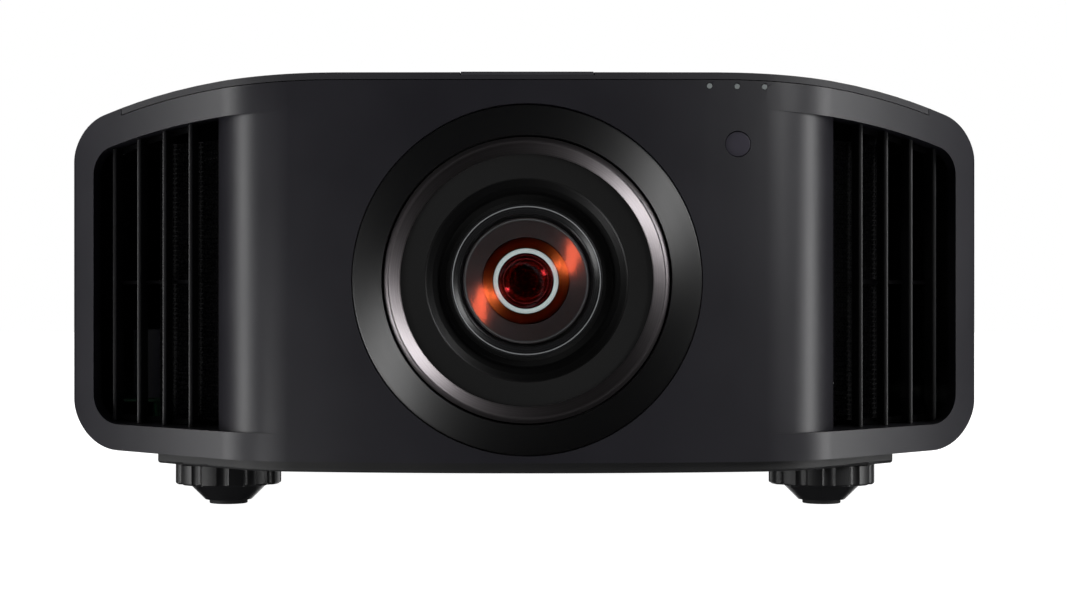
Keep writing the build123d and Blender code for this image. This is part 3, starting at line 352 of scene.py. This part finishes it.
def turned_metal(name, colour, rough, centre=(0.0, lens_z), metallic=1.0, marks=0.35, pitch=2600.0):
    """Metal with fine marks of the lathe round its axis, which runs along Y."""
    material, tree, surface = start_material(name)
    shift = tree.nodes.new("ShaderNodeVectorMath")
    shift.operation = "SUBTRACT"
    tree.links.new(object_place(tree), shift.inputs[0])
    shift.inputs[1].default_value = (centre[0], 0, centre[1])
    flat = tree.nodes.new("ShaderNodeVectorMath")
    flat.operation = "MULTIPLY"
    tree.links.new(shift.outputs["Vector"], flat.inputs[0])
    flat.inputs[1].default_value = (1, 0, 1)
    reach = tree.nodes.new("ShaderNodeVectorMath")
    reach.operation = "LENGTH"
    tree.links.new(flat.outputs["Vector"], reach.inputs[0])
    lines = tree.nodes.new("ShaderNodeTexNoise")
    lines.noise_dimensions = "1D"
    lines.inputs["Scale"].default_value = pitch
    lines.inputs["Detail"].default_value = 3.0
    tree.links.new(reach.outputs["Value"], lines.inputs["W"])
    surface.inputs["Metallic"].default_value = metallic
    tree.links.new(tinted(tree, lines.outputs["Fac"], [c * 0.85 for c in colour],
                          [min(1, c * 1.1) for c in colour]), surface.inputs["Base Color"])
    tree.links.new(spread(tree, lines.outputs["Fac"], rough - 0.05, rough + 0.06),
                   surface.inputs["Roughness"])
    raised(tree, lines.outputs["Fac"], surface, marks, 0.00001)
    return material


def settle(piece, body, slot, material, *nodes):
    dress(piece, material)
    if nodes:
        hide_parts(*nodes)
    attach(piece, body)


bezel_black = turned_metal("satin_black_bezel", (0.0018, 0.0018, 0.0020), 0.36, metallic=0.0, marks=0.2)
bezel_black.node_tree.nodes["Principled BSDF"].inputs["Specular IOR Level"].default_value = 0.75
bezel = turned_ring("lens_bezel_flare", [
    (87.55, 6.7), (87.7, 7.2), (87.7, 14.0), (76.3, 21.0), (73.0, 21.0), (73.0, 16.5), (73.3, 15.9),
    (76.6, 13.9), (80.4, 11.4), (84.2, 8.8), (86.6, 7.0), (87.1, 6.7)])
round_edges(bezel, 0.0003, 50, 2)
settle(bezel, "casing", "casing_dark", bezel_black, "lens_bezel")

trim_silver = turned_metal("anodised_trim_ring", (0.36, 0.33, 0.343), 0.37, marks=0.5)
trim = turned_ring("trim_ring_turned", [
    (72.3, 18.2), (72.2, 17.8), (70.2, 16.7), (69.7, 16.7), (69.2, 17.0), (64.4, 20.2), (64.0, 20.7),
    (64.0, 22.4), (72.3, 22.4)])
round_edges(trim, 0.00025, 40, 2)
settle(trim, "casing", "trim_metal", trim_silver, "lens_trim_ring")

baffle_black = moulded_plastic("flat_black_baffle", (0.0019, 0.0019, 0.0019), 0.70, 3200.0)
baffle = turned_ring("baffle_plate", [
    (74.8, 22.6), (74.8, 24.6), (52.0, 24.6), (51.4, 24.0), (51.4, 23.2), (51.8, 22.6), (58.0, 22.6)])
settle(baffle, "casing", "casing_dark", baffle_black, "lens_baffle")

# ---------------------------------------------------------------- lens front
# The light shield and the barrel are turned from aluminium and anodised matte black. The ring that
# screws in front of the glass has two bright lines cut through the black with a diamond tool.
shield_black = turned_metal("matte_shield_black", (0.0018, 0.0018, 0.0019), 0.42, metallic=0.0, marks=0.15)
shield = turned_ring("light_shield", [
    (64.0, 27.0), (64.0, 28.6), (53.0, 28.6), (49.8, 32.0), (46.9, 36.0), (45.6, 38.6), (41.05, 38.6),
    (41.05, 37.0), (44.0, 36.9), (44.6, 36.4), (45.4, 34.8), (48.0, 31.0), (51.0, 28.0), (52.6, 27.0)])
settle(shield, "lens", "casing_dark", shield_black, "lens_shroud")

ring_black = turned_metal("gloss_black_anodised", (0.006, 0.006, 0.0065), 0.26, metallic=0.0, marks=0.15)
front_ring = turned_ring("lens_front_ring_turned", [
    (39.2, 35.8), (39.2, 31.0), (38.9, 30.5), (38.5, 30.4), (38.0, 30.9), (37.2, 31.6), (35.4, 32.6),
    (34.9, 32.4), (34.2, 33.0), (34.1, 34.4), (34.8, 34.4), (34.8, 35.8)])
settle(front_ring, "lens", "lens_black", ring_black, "lens_front_ring")

line_metal = turned_metal("diamond_cut_line", (0.15, 0.155, 0.16), 0.4, metallic=0.2, marks=0.2)
bright_lines = {"bright_line_outer": (37.7, 30.75, 0.28), "bright_line_inner": (31.7, 44.6, 0.22)}
for name, (r, depth, wide) in bright_lines.items():
    line = turned_ring(name, [(r - wide, depth + 0.3), (r - wide, depth), (r, depth - 0.15),
                              (r + wide, depth), (r + wide, depth + 0.3)])
    settle(line, "lens", "lens_black", line_metal)

barrel_black = turned_metal("barrel_anodised", (0.004, 0.004, 0.004), 0.50,
                            metallic=0.0, marks=0.3, pitch=1500.0)
dress(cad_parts["lens_barrel"], barrel_black)

# ---------------------------------------------------------------- lens glass and what shows through it
# Every glass is ground, polished and coated in many layers, so it reflects red, amber or pale blue.
# Behind the first glass a dark metal cone narrows to an amber spacer and a frosted pale ring, which carries
# a faint painted glow.


def coated_glass(name, colour, rough, share, edge_share):
    """Clear glass whose coating reflects in one colour, more towards its edge."""
    material, tree, surface = start_material(name)
    tree.nodes.remove(surface)
    clear = tree.nodes.new("ShaderNodeBsdfTransparent")
    gloss = tree.nodes.new("ShaderNodeBsdfGlossy")
    gloss.inputs["Roughness"].default_value = rough
    cloud = noise_of(tree, object_place(tree), 90.0, 2.0)
    tree.links.new(tinted(tree, cloud, [c * 0.9 for c in colour], colour), gloss.inputs["Color"])
    facing = tree.nodes.new("ShaderNodeLayerWeight")
    facing.inputs["Blend"].default_value = 0.4
    mix = tree.nodes.new("ShaderNodeMixShader")
    tree.links.new(spread(tree, facing.outputs["Facing"], share, edge_share, 0.0, 1.0), mix.inputs["Fac"])
    tree.links.new(clear.outputs["BSDF"], mix.inputs[1])
    tree.links.new(gloss.outputs["BSDF"], mix.inputs[2])
    tree.links.new(mix.outputs["Shader"], tree.nodes["Material Output"].inputs["Surface"])
    return material


def dome(r, ball_r, apex, steps=10):
    """(radius, depth) points of a spherical face, from its middle out. A negative ball is hollow."""
    points = []
    for step in range(steps + 1):
        reach = max(0.02, r * step / steps)
        sag = abs(ball_r) - math.sqrt(ball_r * ball_r - reach * reach)
        points.append((reach, apex + math.copysign(sag, ball_r)))
    return points


def ground_glass(name, r, front_ball, front_apex, back_ball, back_apex):
    front = dome(r, front_ball, front_apex)
    back = dome(r, back_ball, back_apex)
    glass = turned_ring(name, [*front, *reversed(back)], sides=128)
    bpy.ops.object.shade_smooth_by_angle(angle=math.radians(30))
    return glass


clear_coating = coated_glass("front_glass_coating", (0.55, 0.34, 0.62), 0.03, 0.03, 0.30)
red_coating = coated_glass("red_coating", (1.0, 0.13, 0.05), 0.20, 0.13, 0.4)
ruby_coating = coated_glass("ruby_coating", (1.0, 0.06, 0.07), 0.13, 0.38, 0.5)
blue_coating = coated_glass("pale_blue_coating", (0.35, 0.60, 0.62), 0.14, 0.10, 0.2)

front_glass = ground_glass("front_glass", 34.3, 143.0, 31.2, 190.0, 40.4)
settle(front_glass, "lens", "lens_glass", clear_coating, "lens_elements")
second_glass = ground_glass("second_glass", 30.9, -52.0, 55.9, -52.4, 56.4)
settle(second_glass, "lens", "lens_glass", red_coating)
third_glass = ground_glass("third_glass", 14.2, 32.0, 57.2, 32.6, 57.9)
settle(third_glass, "lens", "lens_glass", ruby_coating)
fourth_glass = ground_glass("fourth_glass", 12.4, 20.0, 61.4, 20.6, 62.1)
settle(fourth_glass, "lens", "lens_glass", blue_coating)

cone_metal = turned_metal("dark_nickel_cone", (0.075, 0.066, 0.068), 0.45,
                          metallic=0.35, marks=0.6, pitch=1800.0)
cone = turned_ring("inner_cone", [
    (32.6, 46.4), (31.6, 46.5), (23.1, 52.0), (22.8, 52.5), (22.8, 54.0), (24.6, 54.0), (32.6, 49.0)])
settle(cone, "lens", "lens_black", cone_metal)

amber = turned_metal("amber_spacer", (0.42, 0.10, 0.018), 0.33, marks=0.4)
spacer = turned_ring("amber_spacer_ring", [(22.2, 53.0), (17.4, 55.9), (17.4, 57.6), (22.2, 57.6)])
settle(spacer, "lens", "lens_glass", amber)

frosted = moulded_plastic("frosted_pale_ring_painted_glow", (0.64, 0.76, 0.76), 0.5, 2400.0, 0.00002, 0.04)
# The faint emission is a painted glow: the pale ring holds no lamp.
frosted.node_tree.nodes["Principled BSDF"].inputs["Emission Color"].default_value = (0.80, 0.95, 0.95, 1)
frosted.node_tree.nodes["Principled BSDF"].inputs["Emission Strength"].default_value = 0.30
pale = turned_ring("pale_ring", [
    (17.0, 57.9), (17.0, 56.5), (16.6, 55.9), (15.8, 55.7), (15.0, 55.9), (14.6, 56.5), (14.6, 57.9)])
settle(pale, "lens", "lens_glass", frosted)

violet = turned_metal("violet_edge", (0.10, 0.012, 0.03), 0.3, marks=0.2)
edge_ring = turned_ring("inner_edge_ring", [(14.55, 57.2), (13.7, 57.8), (13.7, 59.4), (14.55, 59.4)])
settle(edge_ring, "lens", "lens_glass", violet)

# ---------------------------------------------------------------- sensor windows and indicator lights
# Each remote sensor looks through a nearly black filter, polished, that passes infrared. The three
# indicators are clear acrylic rods glued into drilled holes, their ends left frosted.
filter_black = moulded_plastic("infrared_filter", (0.024, 0.022, 0.030), 0.30, 1400.0, 0.000004, 0.2, 0.2)
windows = shell_from("sensor_windows", "sensor_filters", 0.0003)
settle(windows, "casing", "sensor_filter", filter_black, "sensor_windows")

rod_clear = moulded_plastic("frosted_light_guide", (0.10, 0.11, 0.11), 0.35, 2800.0, 0.00002, 0.05)
rods = shell_from("indicator_lights", "light_guides", 0.0002)
settle(rods, "casing", "indicator_lens", rod_clear, "indicator_lights")

# ---------------------------------------------------------------- feet
# A knurled wheel and cone in black plastic turn on a steel stud. The pad is pressed rubber on a pin,
# and stays still on the table while the wheel turns above it.
foot_black = moulded_plastic("foot_plastic_black", (0.0036, 0.0036, 0.0040), 0.38, 1900.0)
pad_rubber = moulded_plastic("foot_rubber_black", (0.0042, 0.0042, 0.0042), 0.78, 900.0, 0.00008, 0.2, 0.6)
for place in ("front_left", "front_right", "rear_left", "rear_right"):
    wheel = shell_from("foot_wheel_" + place, "foot_wheel_shape_" + place, 0.0005)
    settle(wheel, "foot_wheel_" + place, "foot_plastic", foot_black, "foot_wheel_" + place)
    rubber = shell_from("foot_pad_" + place, "foot_pad_shape_" + place, 0.0004)
    settle(rubber, "foot_pad_" + place, "foot_rubber", pad_rubber, "foot_pad_" + place)

# ---------------------------------------------------------------- keys
# Seven round keys are moulded in satin black and sit in a shallow tray on the rear. Each carries a
# generic sign standing 0.1 mm proud: a triangle for a direction, a ring for OK and power, a bar for menu.
key_black = moulded_plastic("key_satin", (0.016, 0.016, 0.017), 0.30, 3000.0, 0.00001)
sign_grey = moulded_plastic("key_sign_print", (0.42, 0.43, 0.43), 0.5, 2400.0, 0.00001)
ring_corners = 24
sign_height = 0.00015
key_signs = {    # corners, reach from the middle in metres, turn in degrees, flattening
    "ok_button": (ring_corners, 0.0020, 0, 1.0),
    "up_button": (3, 0.0019, 0, 1.0),
    "down_button": (3, 0.0019, 180, 1.0),
    "left_button": (3, 0.0019, 90, 1.0),
    "right_button": (3, 0.0019, -90, 1.0),
    "power_button": (ring_corners, 0.0017, 0, 1.0),
    "menu_button": (4, 0.0019, 45, 0.45)}
for key, (corners, reach, turn, flatten) in key_signs.items():
    low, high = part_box(key)
    cap = shell_from(key, key + "_cap", 0.0002)
    settle(cap, key, "key_plastic", key_black, key)
    bpy.ops.object.select_all(action="DESELECT")
    bpy.ops.mesh.primitive_circle_add(
        vertices=corners, radius=reach, fill_type="NGON",
        location=((low.x + high.x) / 2, high.y - 0.00005, (low.z + high.z) / 2),
        rotation=(math.radians(90), 0, 0))
    sign = bpy.context.object
    sign.name = key + "_sign"
    bpy.ops.object.transform_apply(location=True, rotation=True, scale=True)
    bpy.ops.object.mode_set(mode="EDIT")
    bpy.ops.mesh.select_all(action="SELECT")
    bpy.ops.transform.rotate(value=math.radians(turn), orient_axis="Y",
                             center_override=((low.x + high.x) / 2, 0, (low.z + high.z) / 2))
    bpy.ops.transform.resize(value=(1, 1, flatten),
                             center_override=((low.x + high.x) / 2, 0, (low.z + high.z) / 2))
    bpy.ops.mesh.inset(thickness=0.0007 if corners == ring_corners else 0.0003, depth=0)
    if corners == ring_corners:
        bpy.ops.mesh.delete(type="FACE")
        bpy.ops.mesh.select_all(action="SELECT")
    else:
        bpy.ops.mesh.select_all(action="SELECT")
        bpy.ops.mesh.dissolve_limited(angle_limit=math.radians(1))
    bpy.ops.mesh.extrude_region_move(TRANSFORM_OT_translate={"value": (0, sign_height, 0)})
    bpy.ops.mesh.select_all(action="SELECT")
    bpy.ops.mesh.normals_make_consistent(inside=False)
    bpy.ops.object.mode_set(mode="OBJECT")
    settle(sign, key, "key_plastic", sign_grey)

# ---------------------------------------------------------------- rear covers, filters, sockets and inlet
# The intake covers are slotted mouldings that clip over open-cell foam. Sockets have plated steel
# shells, and the mains inlet is a black moulding whose three blades, bright on the real part, take its black
# here.
cover_black = moulded_plastic("intake_cover_black", (0.0120, 0.0118, 0.0128), 0.46, 2200.0)
for side in ("left", "right"):
    intake = shell_from("intake_cover_" + side, "intake_cover_shape_" + side, 0.0004)
    settle(intake, "intake_cover_" + side, "casing_dark", cover_black, "intake_cover_" + side)

foam = moulded_plastic("open_cell_foam", (0.045, 0.045, 0.046), 0.95, 700.0, 0.0006, 0.45, 1.0)
dress(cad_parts["air_filters"], foam)

nickel = plated_metal("nickel_shell", (0.60, 0.58, 0.54), 0.24)
sockets = shell_from("rear_sockets", "socket_shells", 0.00015)
settle(sockets, "casing", "socket_metal", nickel, "rear_sockets")

inlet_black = moulded_plastic("inlet_moulding", (0.012, 0.012, 0.012), 0.42, 2000.0)
inlet = shell_from("power_inlet", "mains_inlet_body", 0.0003)
settle(inlet, "casing", "inlet_plastic", inlet_black, "power_inlet")

# ---------------------------------------------------------------- circuit boards
# Glass-epoxy boards under green solder resist, with copper tracks showing through as paler lines and
# dark components soldered on.


def board_material(name, resist, component, top):
    """Green resist with tracks up to the height top in metres, dark component colour above it."""
    material, tree, surface = start_material(name)
    place = object_place(tree)
    tracks = tree.nodes.new("ShaderNodeTexBrick")
    tracks.inputs["Scale"].default_value = 260.0
    tracks.inputs["Mortar Size"].default_value = 0.06
    tracks.inputs["Color1"].default_value = (*resist, 1)
    tracks.inputs["Color2"].default_value = (*[c * 0.8 for c in resist], 1)
    tracks.inputs["Mortar"].default_value = (*[min(1, c * 1.9) for c in resist], 1)
    tree.links.new(place, tracks.inputs["Vector"])
    height = tree.nodes.new("ShaderNodeSeparateXYZ")
    tree.links.new(place, height.inputs["Vector"])
    above = tree.nodes.new("ShaderNodeMath")
    above.operation = "GREATER_THAN"
    tree.links.new(height.outputs[top[0]], above.inputs[0])
    above.inputs[1].default_value = top[1]
    mix = tree.nodes.new("ShaderNodeMix")
    mix.data_type = "RGBA"
    tree.links.new(above.outputs["Value"], mix.inputs["Factor"])
    tree.links.new(tracks.outputs["Color"], mix.inputs["A"])
    mix.inputs["B"].default_value = (*component, 1)
    tree.links.new(mix.outputs["Result"], surface.inputs["Base Color"])
    grained = noise_of(tree, place, 800.0, 2.0)
    tree.links.new(spread(tree, grained, 0.35, 0.5), surface.inputs["Roughness"])
    raised(tree, grained, surface, 0.3, 0.00002)
    return material


resist = (0.006, 0.038, 0.016)
boards = {
    "main_board": ((0.015, 0.015, 0.016), ("Z", 0.0458)),
    "power_board": ((0.035, 0.035, 0.045), ("Z", 0.0518)),
    "key_board": ((0.02, 0.02, 0.02), ("Y", 0.2306))}
for board, (component, top) in boards.items():
    dress(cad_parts[board], board_material(board + "_resist", resist, component, top))

# ---------------------------------------------------------------- lens drive
# Gear rings and pinions are moulded in natural acetal. The shift plates are machined aluminium that
# slide on one another, driven by plated steel screws, and the motors are drawn steel cans.
acetal = moulded_plastic("natural_acetal", (0.70, 0.69, 0.64), 0.38, 1500.0, 0.00001, 0.03)
milled = plated_metal("milled_aluminium", (0.64, 0.65, 0.66), 0.36, 700.0, 0.00002, (1, 1, 6))
can_steel = plated_metal("drawn_steel_can", (0.50, 0.50, 0.51), 0.30, 500.0, 0.00001, (1, 8, 1))
for node in ("focus_ring", "zoom_ring", "focus_pinion", "zoom_pinion"):
    dress(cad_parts[node], acetal)
for node in ("horizontal_carriage", "vertical_carriage", "shift_base"):
    dress(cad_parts[node], milled)
screw_grey = (0.6, 0.6, 0.6)
upright_steel = plated_metal("upright_screw_steel", screw_grey, 0.25, 2400.0, 0.00008, (0.05, 0.05, 1))
level_steel = plated_metal("level_screw_steel", screw_grey, 0.25, 2400.0, 0.00008, (1, 0.05, 0.05))
dress(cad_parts["vertical_screw"], upright_steel)
dress(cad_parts["horizontal_screw"], level_steel)
dress(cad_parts["lens_motors"], can_steel)

# ---------------------------------------------------------------- light engine
# A die-cast aluminium frame carries the cube of four cemented prisms, three ceramic panel packages
# and their finned sinks. The lamp is a coated glass bowl in a heat-proof grey housing.
cast = plated_metal("die_cast_aluminium", (0.55, 0.55, 0.56), 0.48, 350.0, 0.00006)
dress(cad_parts["optical_frame"], cast)
extruded = plated_metal("extruded_sink", (0.62, 0.62, 0.63), 0.38, 1200.0, 0.00001, (1, 1, 0.05))
dress(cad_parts["panel_heat_sinks"], extruded)
prism_glass = coated_glass("prism_coating", (0.75, 0.85, 0.95), 0.03, 0.12, 0.5)
dress(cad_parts["prism_block"], prism_glass)
ceramic = moulded_plastic("panel_ceramic_grey", (0.12, 0.11, 0.10), 0.6, 1200.0, 0.00003)
dress(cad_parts["imaging_panels"], ceramic)
grey_paint = moulded_plastic("heat_proof_paint", (0.14, 0.14, 0.145), 0.55, 900.0, 0.00006, 0.12, 0.5)
dress(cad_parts["lamp_housing"], grey_paint)
dichroic = plated_metal("dichroic_bowl", (0.72, 0.74, 0.80), 0.12, 260.0, 0.00004)
dress(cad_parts["lamp"], dichroic)

# ---------------------------------------------------------------- fans
# Axial fans in glass-filled plastic: a square frame with three struts, and a seven-bladed rotor.
fan_black = moulded_plastic("glass_filled_black", (0.016, 0.016, 0.017), 0.55, 1300.0, 0.00005, 0.15)
rotor_black = moulded_plastic("fan_rotor_black", (0.020, 0.020, 0.021), 0.45, 1500.0, 0.00003, 0.12)
fans = shell_from("fan_frames", "fan_frame_shapes", 0.0004)
settle(fans, "casing", "fan_plastic", fan_black, "fan_frames")
for side in ("left", "right"):
    dress(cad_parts["fan_rotor_" + side], rotor_black)
